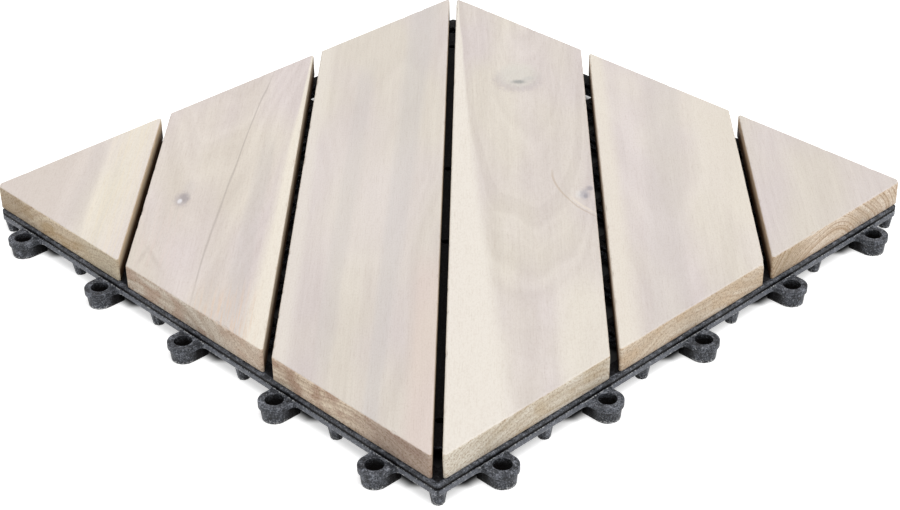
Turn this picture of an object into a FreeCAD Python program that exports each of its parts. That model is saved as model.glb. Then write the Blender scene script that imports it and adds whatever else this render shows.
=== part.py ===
"""Interlocking deck tile: six diagonal wooden slats screwed onto one moulded plastic base.

Frame: millimetres, +Z up, origin at the middle of the tile on the ground.
The edges lie along X and Y. The slats run from the (+X, -Y) corner to the (-X, +Y) corner.
The +X and -Y edges carry loops; the -X and +Y edges carry pegs that drop into a neighbour's loops.
Two slanted directions are used for the slats: u = (1, 1) / sqrt(2) across them and
v = (-1, 1) / sqrt(2) along them.
"""

import FreeCAD, Part

import math
import os

# Tile and levels above the ground
TILE_PITCH = 300.0
BASE_HEIGHT = 11.0
PLATE_THICKNESS = 2.1
GROOVE_HEIGHT = 0.5
GROOVE_DEPTH = 0.8
FLANGE_BOTTOM = 6.0
RIB_BOTTOM = 4.0

# Outline of the base
LOOP_EDGE_GAP = 0.35
PEG_EDGE_SETBACK = 4.3
CORNER_RADIUS = 2.0
CORNER_SIDES = 4
RIM_CHAMFER = 0.4
SKIRT_INSET = 3.5
LOOP_RIM_WIDTH = 8.2
PEG_RIM_WIDTH = 8.0

# Open grid
CELL_PITCH = 24.0
SMALLEST_CELL = 6.0
RIB_WIDTH = 3.0
RIB_TAPER = 0.4
SPINE_WIDTH = 8.0

# Loops and pegs
LINK_PITCH = 60.0
LINK_REACH = 4.7
LOOP_HOLE_RADIUS = 4.0
LOOP_WALL = 2.8
LOOP_NECK_INSET = 0.7
LOOP_DRAFT = 0.6
LOOP_ROOT_RADIUS = 2.0
LOOP_ROOT_SIDES = 2
PEG_CLEARANCE = 0.3
PEG_TIP_HEIGHT = 1.0
PEG_TAB_MARGIN = 0.7
NOTCH_CLEARANCE = 0.7

# Feet
FOOT_PITCH = 58.5
FOOT_TOP_RADIUS = 3.6
FOOT_TIP_RADIUS = 2.6
INNER_FOOT_TOP_RADIUS = 3.0
INNER_FOOT_TIP_RADIUS = 2.2
INNER_FOOT_SPACING = 2
RIM_FOOT_SIDES = 9
INNER_FOOT_SIDES = 4

# Screws and their bosses
SCREW_RADIUS = 1.75
SCREW_LENGTH = 15.0
SCREW_HEAD_RADIUS = 3.5
SCREW_HEAD_HEIGHT = 2.2
SCREW_HOLE_CLEARANCE = 0.3
BOSS_MARGIN = 0.8
BOSS_BOTTOM = 3.4
SHANK_SIDES = 6
BOSS_SIDES = 6

# Wooden slats
SLAT_THICKNESS = 11.5
SLAT_WIDTH = 66.3
SLAT_GAP = 3.8
SLAT_EDGE_SETBACK = 1.5
TOP_ARRIS = 0.8
BOTTOM_ARRIS = 0.4

# Distances along a slat at which it wants its screws; each takes the grid node nearest to it
SCREW_REACHES = {
    "corner_slat": [-17.0, 17.0],
    "outer_slat": [-68.0, 0.0, 68.0],
    "middle_slat": [-136.0, -34.0, 34.0, 136.0],
}
# The same for the bosses that this layout of slats leaves without a screw, under the middle gap
SPARE_REACHES = [-170.0, -34.0, 34.0, 170.0]

# Places worked out from the sizes above
HALF_PITCH = TILE_PITCH / 2
LOOP_EDGE = HALF_PITCH - LOOP_EDGE_GAP
PEG_EDGE = HALF_PITCH - PEG_EDGE_SETBACK
WOOD_EDGE = HALF_PITCH - SLAT_EDGE_SETBACK
PLATE_BOTTOM = BASE_HEIGHT - PLATE_THICKNESS
FLANGE_TOP = PLATE_BOTTOM - GROOVE_HEIGHT
SLAT_TOP = BASE_HEIGHT + SLAT_THICKNESS
SLAT_PITCH = SLAT_WIDTH + SLAT_GAP
LOOP_CENTRE = HALF_PITCH + LINK_REACH
PEG_CENTRE = HALF_PITCH - LINK_REACH
LOOP_RADIUS = LOOP_HOLE_RADIUS + LOOP_WALL
PEG_RADIUS = LOOP_HOLE_RADIUS - PEG_CLEARANCE
NOTCH_REACH = LOOP_RADIUS + NOTCH_CLEARANCE
BOSS_RADIUS = SCREW_HEAD_RADIUS + BOSS_MARGIN
LINK_COUNT = int(TILE_PITCH / LINK_PITCH)
LINK_PLACES = [LINK_PITCH * (k - (LINK_COUNT - 1) / 2) for k in range(LINK_COUNT)]
FOOT_PLACES = [FOOT_PITCH * (k - (LINK_COUNT - 2) / 2) for k in range(LINK_COUNT - 1)]
CELLS_EACH_WAY = int((PEG_EDGE - PEG_RIM_WIDTH - RIB_WIDTH / 2 - SMALLEST_CELL) / CELL_PITCH)
NODES = range(-CELLS_EACH_WAY, CELLS_EACH_WAY + 1)
SLAT_NAMES = ["corner_slat_left", "outer_slat_left", "middle_slat_left",
              "middle_slat_right", "outer_slat_right", "corner_slat_right"]

UP = FreeCAD.Vector(0, 0, 1)
ORIGIN = FreeCAD.Vector(0, 0, 0)


def slanted(u, v):
    """Plan position (x, y) at the distances u and v along the two slanted directions."""
    return (u - v) / math.sqrt(2), (u + v) / math.sqrt(2)


def nearest_node(nodes, u, v):
    """Grid node, as its column and row, that lies nearest to a slanted position."""
    x, y = slanted(u, v)
    return min(nodes, key=lambda node: math.hypot(node[0] * CELL_PITCH - x, node[1] * CELL_PITCH - y))


def tapered(lower, upper, low, high):
    """Solid with flat sides between two alike outlines of (x, y) pairs, run anticlockwise."""
    under = [FreeCAD.Vector(x, y, low) for x, y in lower]
    over = [FreeCAD.Vector(x, y, high) for x, y in upper]
    outlines = [under[::-1], over]
    outlines += [[under[k - 1], under[k], over[k], over[k - 1]] for k in range(len(under))]
    faces = [Part.Face(Part.makePolygon(points + points[:1])) for points in outlines]
    return Part.makeSolid(Part.makeShell(faces))


def prism(points, low, high):
    """Upright prism over an outline of (x, y) pairs, run anticlockwise."""
    return tapered(points, points, low, high)


def rectangle(x, y, grow=0.0):
    """Outline over two spans, grown on every side."""
    west, east = x[0] - grow, x[1] + grow
    south, north = y[0] - grow, y[1] + grow
    return [(west, south), (east, south), (east, north), (west, north)]


def rounded(x, y, radius):
    """Outline over two spans whose corners are turned in a few equal steps."""
    east, west = x[1] - radius, x[0] + radius
    north, south = y[1] - radius, y[0] + radius
    middles = [(east, north), (west, north), (west, south), (east, south)]
    turns = [(k + step / CORNER_SIDES) * math.pi / 2 for k in range(4) for step in range(CORNER_SIDES + 1)]
    centres = [middle for middle in middles for step in range(CORNER_SIDES + 1)]
    return [(cx + radius * math.cos(turn), cy + radius * math.sin(turn))
            for (cx, cy), turn in zip(centres, turns)]


def ring(sides, radius, x, y):
    """Regular outline with its first corner towards +X."""
    turns = [2 * math.pi * k / sides for k in range(sides)]
    return [(x + radius * math.cos(turn), y + radius * math.sin(turn)) for turn in turns]


def round_post(radius, x, y, low, high):
    """Upright cylinder between two heights."""
    return Part.makeCylinder(radius, high - low, FreeCAD.Vector(x, y, low))


def edges_at(shape, z):
    """Edges of a shape that lie flat at one height."""
    low = [edge for edge in shape.Edges if abs(edge.BoundBox.ZMin - z) < 1e-6]
    return [edge for edge in low if abs(edge.BoundBox.ZMax - z) < 1e-6]


def turned(shape):
    """Copy turned a quarter, which takes the +X edge to the -Y edge and -X to +Y."""
    copy = shape.copy()
    copy.rotate(ORIGIN, UP, -90)
    return copy


def on_both_edges(shapes):
    """The shapes of an X edge with their copies on the matching Y edge."""
    return shapes + [turned(shape) for shape in shapes]


def rim_layer(inset, low, high):
    """Rounded slab with the outline of the base drawn in by an inset."""
    reach = LOOP_EDGE - inset
    back = PEG_EDGE - inset
    radius = max(CORNER_RADIUS - inset, RIM_CHAMFER)
    return prism(rounded((-back, reach), (-reach, back), radius), low, high)


def solid_rim():
    """Slab before the cells are opened: skirt, flange, shadow groove and top plate."""
    skirt = rim_layer(SKIRT_INSET, RIB_BOTTOM, FLANGE_BOTTOM)
    flange = rim_layer(0, FLANGE_BOTTOM, FLANGE_TOP)
    flange = flange.makeChamfer(RIM_CHAMFER, edges_at(flange, FLANGE_TOP))
    groove = rim_layer(GROOVE_DEPTH, FLANGE_TOP, PLATE_BOTTOM)
    plate = rim_layer(0, PLATE_BOTTOM, BASE_HEIGHT)
    plate = plate.makeChamfer(RIM_CHAMFER, edges_at(plate, BASE_HEIGHT))
    return skirt.fuse([flange, groove, plate])


def cell_spans():
    """Clear spans between the ribs along X, from the peg edge to the loop edge."""
    half = RIB_WIDTH / 2
    spans = [(CELL_PITCH * i + half, CELL_PITCH * (i + 1) - half) for i in NODES[:-1]]
    outer = CELL_PITCH * CELLS_EACH_WAY + half
    first = (-(PEG_EDGE - PEG_RIM_WIDTH), -outer)
    last = (outer, LOOP_EDGE - LOOP_RIM_WIDTH)
    return [first] + spans + [last]


def cell_cutters():
    """One tapered plug for each cell, wider below so that the ribs narrow downwards."""
    along_x = cell_spans()
    along_y = [(-high, -low) for low, high in along_x]
    return [
        tapered(rectangle(x, y, RIB_TAPER), rectangle(x, y), RIB_BOTTOM, BASE_HEIGHT)
        for x in along_x
        for y in along_y
    ]


def spine():
    """Flat bar across the grid under the middle gap, level with the top plate."""
    half = SPINE_WIDTH / 2
    reach = (CELLS_EACH_WAY + 0.5) * CELL_PITCH * math.sqrt(2)
    corners = [slanted(-half, -reach), slanted(half, -reach), slanted(half, reach), slanted(-half, reach)]
    return prism(corners, PLATE_BOTTOM, BASE_HEIGHT)


def loop_body(y):
    """Solid part of one loop on the +X edge: a lip as thick as the flange over a tapered barrel."""
    back = (LOOP_EDGE - SKIRT_INSET, LOOP_CENTRE)
    neck = LOOP_RADIUS - LOOP_NECK_INSET
    tip = neck - LOOP_DRAFT
    lip_end = round_post(LOOP_RADIUS, LOOP_CENTRE, y, FLANGE_BOTTOM, FLANGE_TOP)
    lip_sides = prism(rectangle(back, (y - LOOP_RADIUS, y + LOOP_RADIUS)), FLANGE_BOTTOM, FLANGE_TOP)
    barrel_end = Part.makeCone(tip, neck, FLANGE_BOTTOM, FreeCAD.Vector(LOOP_CENTRE, y, 0))
    lower = rectangle(back, (y - tip, y + tip))
    upper = rectangle(back, (y - neck, y + neck))
    barrel_sides = tapered(lower, upper, 0, FLANGE_BOTTOM)
    return [lip_end.fuse(lip_sides).removeSplitter(), barrel_end.fuse(barrel_sides).removeSplitter()]


def loop_roots(y):
    """Two hollow-curved webs where the sides of a loop leave the flange."""
    radius = LOOP_ROOT_RADIUS
    turns = [math.pi / 2 * k / LOOP_ROOT_SIDES for k in range(LOOP_ROOT_SIDES + 1)]
    roots = []
    for side in (-1, 1):
        wall = y + side * LOOP_RADIUS
        middle = wall + side * radius
        hollow = [(LOOP_EDGE + radius * (1 - math.sin(turn)), middle - side * radius * math.cos(turn))
                  for turn in turns]
        outline = [(LOOP_EDGE, wall)] + hollow
        roots.append(prism(outline[::side], FLANGE_BOTTOM, FLANGE_TOP))
    return roots


def notch(y):
    """Room under the top plate of the peg edge that takes a neighbour's loop."""
    back = min(PEG_CENTRE - NOTCH_REACH, PEG_EDGE - PEG_RIM_WIDTH)
    return prism(rectangle((-HALF_PITCH, -back), (y - NOTCH_REACH, y + NOTCH_REACH)), 0, PLATE_BOTTOM)


def peg(y):
    """Round peg that hangs from a tab on the edge of the top plate."""
    half = PEG_RADIUS + PEG_TAB_MARGIN
    tab = rectangle((-PEG_CENTRE - half, -PEG_CENTRE + half), (y - half, y + half))
    post = round_post(PEG_RADIUS, -PEG_CENTRE, y, PEG_TIP_HEIGHT, PLATE_BOTTOM)
    return prism(tab, PLATE_BOTTOM, BASE_HEIGHT).fuse(post)


def foot(x, y, sides, top, top_radius, tip_radius):
    """Foot that narrows from the underside it hangs from down to the ground."""
    return tapered(ring(sides, tip_radius, x, y), ring(sides, top_radius, x, y), 0, top)


def rim_feet():
    """Feet under the rim: between the loops, between the pegs and at the corners."""
    front = LOOP_EDGE - FOOT_TOP_RADIUS
    back = PEG_EDGE - FOOT_TOP_RADIUS
    places = [(x, y) for x in (front, -back) for y in FOOT_PLACES]
    places += [(y, -x) for x, y in places]
    inward = max(CORNER_RADIUS - FOOT_TOP_RADIUS, 0)
    front -= inward
    back -= inward
    places += [(front, -front), (front, back), (-back, -front), (-back, back)]
    return [foot(x, y, RIM_FOOT_SIDES, FLANGE_BOTTOM, FOOT_TOP_RADIUS, FOOT_TIP_RADIUS)
            for x, y in places]


def slat_start(k):
    """Lower edge, as a value of u, of the slat number k from the left corner."""
    return (k - len(SLAT_NAMES) / 2) * SLAT_PITCH + SLAT_GAP / 2


def covered_nodes(name):
    """Grid nodes under one slat, clear of its edges by the radius of a boss."""
    low = slat_start(SLAT_NAMES.index(name)) + BOSS_RADIUS
    high = low + SLAT_WIDTH - 2 * BOSS_RADIUS
    across = CELL_PITCH / math.sqrt(2)
    return [(i, j) for i in NODES for j in NODES if low < (i + j) * across < high]


def screw_nodes(name):
    """Grid nodes that carry the screws of one slat."""
    kind, side = name.rsplit("_", 1)
    nodes = covered_nodes(name)
    low = slat_start(SLAT_NAMES.index(name))
    across = low + SLAT_WIDTH / 2
    if kind == "corner_slat":
        across = low + SLAT_WIDTH * (2 / 3 if side == "left" else 1 / 3)
    return sorted({nearest_node(nodes, across, reach) for reach in SCREW_REACHES[kind] if nodes})


def driven_nodes():
    """Nodes with a screw, over all slats."""
    return [node for name in SLAT_NAMES for node in screw_nodes(name)]


def boss_nodes():
    """Nodes of every boss, with or without a screw."""
    middle = [(-i, i) for i in NODES]
    return driven_nodes() + [nearest_node(middle, 0, reach) for reach in SPARE_REACHES]


def inner_feet():
    """Feet under the even nodes of the grid that have no boss."""
    taken = set(boss_nodes())
    even = [i for i in NODES if i % INNER_FOOT_SPACING == 0]
    return [foot(i * CELL_PITCH, j * CELL_PITCH, INNER_FOOT_SIDES, RIB_BOTTOM,
                 INNER_FOOT_TOP_RADIUS, INNER_FOOT_TIP_RADIUS)
            for i in even for j in even if (i, j) not in taken]


def posts(nodes, sides, radius, low, high):
    """Upright many-sided posts at grid nodes."""
    return [prism(ring(sides, radius, i * CELL_PITCH, j * CELL_PITCH), low, high) for i, j in nodes]


def interlocking_base():
    """The one-piece moulding that carries the slats and links the tiles."""
    grid = solid_rim().cut(cell_cutters())
    added = [spine()] + inner_feet() + rim_feet()
    added += posts(boss_nodes(), BOSS_SIDES, BOSS_RADIUS, BOSS_BOTTOM, BASE_HEIGHT)
    added += on_both_edges([piece for y in LINK_PLACES for piece in loop_body(y) + loop_roots(y)])
    holes = [round_post(LOOP_HOLE_RADIUS, LOOP_CENTRE, y, 0, FLANGE_TOP) for y in LINK_PLACES]
    removed = on_both_edges(holes + [notch(y) for y in LINK_PLACES])
    removed += posts(boss_nodes(), BOSS_SIDES, SCREW_RADIUS + SCREW_HOLE_CLEARANCE, 0, BASE_HEIGHT)
    body = grid.fuse(added).cut(removed)
    return body.fuse(on_both_edges([peg(y) for y in LINK_PLACES])).removeSplitter()


def screw_shanks(nodes):
    """Shanks of the screws at some nodes, from the seat of the head to the tip in the wood."""
    return posts(nodes, SHANK_SIDES, SCREW_RADIUS, BOSS_BOTTOM, BOSS_BOTTOM + SCREW_LENGTH)


def screws():
    """All the screws, driven from below with their heads against the bosses."""
    nodes = driven_nodes()
    heads = posts(nodes, BOSS_SIDES, SCREW_HEAD_RADIUS, BOSS_BOTTOM - SCREW_HEAD_HEIGHT, BOSS_BOTTOM)
    return [head.fuse(shank) for head, shank in zip(heads, screw_shanks(nodes))]


def slat(name):
    """One slat: a board trimmed to the square of the tile, with eased edges and pilot holes."""
    low = slat_start(SLAT_NAMES.index(name))
    high = low + SLAT_WIDTH
    corners = [slanted(low, -TILE_PITCH), slanted(high, -TILE_PITCH),
               slanted(high, TILE_PITCH), slanted(low, TILE_PITCH)]
    board = prism(corners, BASE_HEIGHT, SLAT_TOP)
    sides = (-WOOD_EDGE, WOOD_EDGE)
    board = board.common(prism(rectangle(sides, sides), BASE_HEIGHT, SLAT_TOP))
    board = board.makeChamfer(TOP_ARRIS, edges_at(board, SLAT_TOP))
    board = board.makeChamfer(BOTTOM_ARRIS, edges_at(board, BASE_HEIGHT))
    return board.cut(screw_shanks(screw_nodes(name)))


def main():
    """Build every piece and write one STEP file for each node."""
    nodes = {"interlocking_base": interlocking_base()}
    nodes.update({name: slat(name) for name in SLAT_NAMES})
    nodes["slat_screws"] = Part.makeCompound(screws())
    os.makedirs("parts", exist_ok=True)
    for name, shape in nodes.items():
        shape.exportStep(f"parts/{name}.step")
        print(name, len(shape.Solids), "solids", shape.isValid(), round(shape.Volume, 1), "mm3")


main()
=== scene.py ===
"""Looks of the interlocking deck tile: six whitewashed acacia slats on a moulded charcoal base.

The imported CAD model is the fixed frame. The base keeps its CAD mesh and gets a finish. Each slat is
replaced by a finer board of the same size, with worn arrises and its own grain, and the screws by
round-headed ones with a cross recess and a thread.

Places on the slats are given in millimetres in two slanted directions: u = (x + y) / sqrt(2) across
the slats and v = (y - x) / sqrt(2) along them. Heights z are in millimetres above the ground.
"""

import logging
import math
from dataclasses import dataclass, field
from enum import Enum
from typing import Any, Optional, Union

import bpy
import numpy as np
from mathutils import Matrix, Vector


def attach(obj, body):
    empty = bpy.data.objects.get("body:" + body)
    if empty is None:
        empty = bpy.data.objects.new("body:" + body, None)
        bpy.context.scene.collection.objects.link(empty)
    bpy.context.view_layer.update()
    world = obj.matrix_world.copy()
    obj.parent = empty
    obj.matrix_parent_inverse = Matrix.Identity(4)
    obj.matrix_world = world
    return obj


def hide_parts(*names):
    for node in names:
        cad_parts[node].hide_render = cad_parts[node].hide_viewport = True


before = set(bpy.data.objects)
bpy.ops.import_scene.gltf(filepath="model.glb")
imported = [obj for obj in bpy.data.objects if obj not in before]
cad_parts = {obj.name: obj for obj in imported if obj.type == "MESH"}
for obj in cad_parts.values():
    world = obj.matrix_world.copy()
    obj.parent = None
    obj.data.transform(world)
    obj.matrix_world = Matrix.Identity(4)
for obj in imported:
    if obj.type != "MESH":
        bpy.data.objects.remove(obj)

LOG = logging.getLogger("deck_tile")
MM = 0.001
LOOP_PITCH = 60.0
MODES = {"Math": "operation", "VectorMath": "operation", "MapRange": "interpolation_type",
         "Mix": "data_type", "TexNoise": "noise_dimensions"}

Socket = Union[bpy.types.NodeSocket, bpy.types.Node]
Colour = tuple[float, float, float, float]


# ---------------------------------------------------------------- nodes, colours and meshes


def linear(text: str) -> Colour:
    """Turn an sRGB hex colour into linear light.

    Args:
        text: Six hex digits after a hash.

    Returns:
        Red, green, blue and an alpha of 1, in linear light.
    """
    shares = [int(text[k:k + 2], 16) / 255 for k in (1, 3, 5)]
    light = [c / 12.92 if c <= 0.04045 else ((c + 0.055) / 1.055) ** 2.4 for c in shares]
    return (light[0], light[1], light[2], 1.0)


class Nodes:
    """The node tree of one material or world, emptied and then filled node by node."""

    def __init__(self, owner: Union[bpy.types.Material, bpy.types.World]) -> None:
        """Empty the tree.

        Args:
            owner: The new material or world.
        """
        owner.use_nodes = True
        self.tree = owner.node_tree
        self.tree.nodes.clear()

    def add(self, kind: str, values: Optional[dict[Any, Any]] = None) -> bpy.types.Node:
        """Add one node with its settings and its incoming links.

        Args:
            kind: The node's type without the leading "ShaderNode", and its mode after a space.
            values: What each property, and each input by name or number, is set to or linked from. A
                node stands for its first output in use. "stops" holds a ramp's places and colours.

        Returns:
            The new node.
        """
        name, *modes = kind.split()
        node = self.tree.nodes.new("ShaderNode" + name)
        for mode in modes:
            setattr(node, MODES[name], mode)
        for key, value in (values or {}).items():
            if isinstance(value, bpy.types.Node):
                value = next(socket for socket in value.outputs if socket.enabled)
            if key == "stops":
                ramp = node.color_ramp.elements
                while len(ramp) < len(value):
                    ramp.new(0.5)
                for element, (place, colour) in zip(ramp, value):
                    element.position, element.color = place, colour
            elif isinstance(key, str) and key in node.bl_rna.properties:
                setattr(node, key, value)
            else:
                entry = node.inputs[key] if isinstance(key, int) else next(
                    socket for socket in node.inputs if socket.enabled and socket.name == key)
                if isinstance(value, bpy.types.NodeSocket):
                    self.tree.links.new(value, entry)
                else:
                    entry.default_value = value
        return node

    def ruler(self, turn: float = 0.0) -> bpy.types.Node:
        """Place on the object in millimetres, turned about z by an angle in radians."""
        place = self.add("TexCoord").outputs["Object"]
        return self.add("Mapping", {"Rotation": (0, 0, turn), "Scale": (1 / MM,) * 3, "Vector": place})

    def square_plan(self, place: Socket) -> tuple[Socket, Socket]:
        """Two distances in the square tile, in millimetres.

        The larger of |x| and |y| says how far out a point lies. The smaller of them, folded at half the
        loops' pitch, says how far along an edge it lies from the nearest loop's middle.

        Args:
            place: Place in millimetres.

        Returns:
            The distance out, and the distance from a loop's middle.
        """
        x, y, _ = self.add("SeparateXYZ", {0: self.add("VectorMath ABSOLUTE", {0: place})}).outputs
        along = self.add("Math MINIMUM", {0: x, 1: y})
        beside = self.add("Math PINGPONG", {0: along, 1: LOOP_PITCH / 2})
        return self.add("Math MAXIMUM", {0: x, 1: y}), beside

    def apart(self, value: Socket, centre: Any) -> bpy.types.Node:
        """Size of the difference between a value and a number or another value."""
        return self.add("Math ABSOLUTE", {0: self.add("Math SUBTRACT", {0: value, 1: centre})})


def shell(name: str, points: np.ndarray) -> bpy.types.Mesh:
    """Mesh of one or more closed bodies, each a stack of rings with a flat face at either end.

    A quad joins points k and k + 1 of a ring to the same points of the next ring.

    Args:
        name: Name of the mesh.
        points: Places in millimetres, by body, ring, point of the ring and axis.

    Returns:
        The mesh, with its faces outwards and smooth but for the end faces.
    """
    bodies, rings, count = points.shape[:3]
    here = np.arange(count)
    there = (here + 1) % count
    ring = np.arange(rings - 1)[:, None] * count
    quads = np.stack([ring + here, ring + there, ring + count + there, ring + count + here], axis=-1)
    start = np.arange(bodies)[:, None] * rings * count
    faces = (quads.reshape(1, -1, 4) + start[..., None]).reshape(-1, 4).tolist()
    faces += (start + here[::-1]).tolist()
    faces += (start + (rings - 1) * count + here).tolist()
    mesh = bpy.data.meshes.new(name)
    mesh.from_pydata((points * MM).reshape(-1, 3).tolist(), [], faces)
    smooth = np.ones(len(mesh.polygons), dtype=bool)
    smooth[-2 * bodies:] = False
    mesh.polygons.foreach_set("use_smooth", smooth)
    mesh.validate()
    return mesh


def put(name: str, data: bpy.types.ID) -> bpy.types.Object:
    """Put a new object with the given data into the scene.

    Args:
        name: Name of the object.
        data: Its mesh, camera or lamp.

    Returns:
        The object.
    """
    made = bpy.data.objects.new(name, data)
    bpy.context.scene.collection.objects.link(made)
    return made


# ---------------------------------------------------------------- wood


@dataclass(frozen=True)
class Band:
    """A strip of colour along the grain, bounded across by a curve and along by two ends.

    With t = v / 100, its middle lies at u = centre[0] + centre[1] t + centre[2] t^2, and its half-width
    is width[0] + width[1] t + width[2] t^2. Coefficients that are left out are 0.
    """

    colour: str
    strength: float
    centre: tuple[float, ...]
    width: tuple[float, ...]
    along: tuple[float, float] = (-400.0, 400.0)
    soft: float = 0.5
    fade: float = 20.0
    flecked: bool = False


@dataclass(frozen=True)
class Spot:
    """An oval patch of colour, such as the heart of a knot: its place, half-sizes and turn."""

    colour: str
    strength: float
    place: tuple[float, float]
    half: tuple[float, float]
    turn: float = 0.0
    soft: float = 0.4


class Grain(Nodes):
    """The nodes that all parts of one board's finish share.

    They are the place in the board, in millimetres across, along and up, broad streaks and fine fibre.
    """

    def __init__(self, material: bpy.types.Material, seed: float) -> None:
        """Build them.

        Args:
            material: The board's material.
            seed: Where in the noise this board lies.
        """
        super().__init__(material)
        self.seed = seed
        self.place = self.ruler(-math.pi / 4)
        self.across, self.along, self.height = self.add("SeparateXYZ", {0: self.place}).outputs
        self.broad = self.streaks(9.0, 190.0, 2.0)
        self.fibre = self.streaks(0.9, 34.0, 3.0)

    def streaks(self, across: float, along: float, detail: float) -> bpy.types.Node:
        """Noise drawn out along the grain.

        Args:
            across: Width of a streak in millimetres.
            along: Length of a streak in millimetres.
            detail: Octaves of finer noise.

        Returns:
            The noise node.
        """
        stretched = self.add("Mapping", {"Scale": (1 / across, 1 / along, 1 / across), "Vector": self.place,
                                         "Location": (self.seed, self.seed * 1.7, self.seed * 0.6)})
        return self.add("TexNoise", {"Scale": 1.0, "Detail": detail, "Roughness": 0.55,
                                     "Vector": stretched})


@dataclass(frozen=True)
class WhitewashedAcacia:
    """Planed acacia, brushed with a thin white wash: matt, with the grain showing through.

    The grain is one solid pattern. Its rings are shells round a pith line that runs below or above
    the board; the wash lies on the top, and the sawn sides and ends show the bare tan wood. On the
    long sides in the gaps the colour is set lighter or darker per board as painted light, and turns
    dark low down as painted shade.
    """

    light: str
    dark: str
    seed: float
    pith: tuple[float, float]
    lean: tuple[float, float] = (0.0, 0.0)
    ring: float = 2.6
    waver: float = 16.0
    contrast: float = 1.0
    end_light: str = "#D2C5B0"
    end_dark: str = "#B9A78E"
    lines: float = 0.22
    stain: str = "#BFA38C"
    # Next: wash on the upper gap sides, lighter or darker per board as painted light; painted shade low in
    # the gaps.
    lit_overspill: str = "#F6ECDC"
    gap_shade: str = "#573C22"
    spill_end: tuple[float, float] = (21.8, 16.2)
    bands: tuple[Band, ...] = ()
    end_bands: tuple[Band, ...] = ()
    spots: tuple[Spot, ...] = ()

    def build(self, name: str) -> bpy.types.Material:
        """Make the material.

        Args:
            name: Name of the material.

        Returns:
            The finished material.
        """
        material = bpy.data.materials.new(name)
        wood = Grain(material, self.seed)
        count = self.ring_count(wood)
        rings = wood.add("TexNoise 1D", {"Scale": 1.0, "Detail": 2.0, "Roughness": 0.6, "W": count})
        top, side = self.top_colour(wood, rings), self.side_colour(wood, rings, count)
        colour = wood.add("Mix RGBA", {"Factor": self.wash_mask(wood), "A": side, "B": top})
        surface = wood.add("BsdfPrincipled", {"Roughness": 0.72, "Specular IOR Level": 0.32, "IOR": 1.5,
                                              "Base Color": colour, "Normal": self.relief(wood)})
        wood.add("OutputMaterial", {"Surface": surface})
        return material

    def ring_count(self, wood: Grain) -> bpy.types.Node:
        """Number of the growth ring, from the distance to the pith line, wavered by slow noise.

        The pith lies at u = pith[0] + lean[0] v and z = pith[1] + lean[1] v, and the ring number is
        the distance from it divided by the ring width.

        Args:
            wood: The board's nodes.

        Returns:
            The ring number, with its fraction.
        """
        off: dict[int, Socket] = {}
        for k, axis in enumerate((wood.across, wood.height)):
            shift = wood.add("Math MULTIPLY_ADD", {0: wood.along, 1: -self.lean[k], 2: -self.pith[k]})
            off[k] = wood.add("Math ADD", {0: axis, 1: shift})
        reach = wood.add("VectorMath LENGTH", {0: wood.add("CombineXYZ", off)})
        slow = wood.streaks(34.0, 150.0, 1.0)
        wavered = wood.add("Math MULTIPLY_ADD", {0: slow, 1: self.waver, 2: reach})
        return wood.add("Math MULTIPLY_ADD", {0: wavered, 1: 1 / self.ring, 2: self.seed})

    def top_colour(self, wood: Grain, rings: Socket) -> Socket:
        """Colour of the washed face: tone from rings and streaks, then bands and spots over it.

        Wide, faint changes between a pinkish and a yellowish cast show how the wash soaks in unevenly.

        Args:
            wood: The board's nodes.
            rings: The growth rings.

        Returns:
            The colour.
        """
        shares = ((rings, 0.5 * self.contrast), (wood.broad, 0.7), (wood.fibre, 0.4))
        total: Any = 0.0
        for noise, share in shares:
            total = wood.add("Math MULTIPLY_ADD", {0: noise, 1: share, 2: total})
        middle = sum(share for _, share in shares) / 2
        tone = wood.add("MapRange", {"From Min": middle - 0.2, "From Max": middle + 0.2, "Value": total})
        washed = wood.add("Mix RGBA", {"Factor": tone, "A": linear(self.dark), "B": linear(self.light)})
        wide = wood.streaks(26.0, 90.0, 1.0)
        soaked = wood.add("MapRange", {"From Min": 0.35, "From Max": 0.65, "Value": wide})
        cast = wood.add("Mix RGBA", {"Factor": soaked, "A": linear("#FBF8FB"), "B": linear("#FFFEF8")})
        colour = wood.add("Mix RGBA", {"blend_type": "MULTIPLY", "Factor": 1.0, "A": washed, "B": cast})
        wobble = wood.add("Math MULTIPLY_ADD", {0: wood.broad, 1: 5.0, 2: wood.across})
        across = wood.add("Math SUBTRACT", {0: wobble, 1: 2.5})
        for band in self.bands:
            colour = self.with_band(wood, colour, band, across)
        for spot in self.spots:
            colour = self.with_spot(wood, colour, spot)
        return self.with_pores(wood, colour)

    def with_band(self, wood: Grain, colour: Socket, band: Band, across: Socket) -> Socket:
        """Lay a band over a colour, where |u - centre| is under the width and v is between the ends.

        Args:
            wood: The board's nodes.
            colour: What lies below.
            band: The band.
            across: The distance across, in millimetres.

        Returns:
            The colour with the band on it.
        """
        t = wood.add("Math DIVIDE", {0: wood.along, 1: 100.0})

        def curve(a: float, b: float = 0.0, c: float = 0.0) -> bpy.types.Node:
            """The polynomial a + (b + c t) t."""
            slope = wood.add("Math MULTIPLY_ADD", {0: t, 1: c, 2: b})
            return wood.add("Math MULTIPLY_ADD", {0: slope, 1: t, 2: a})

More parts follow.
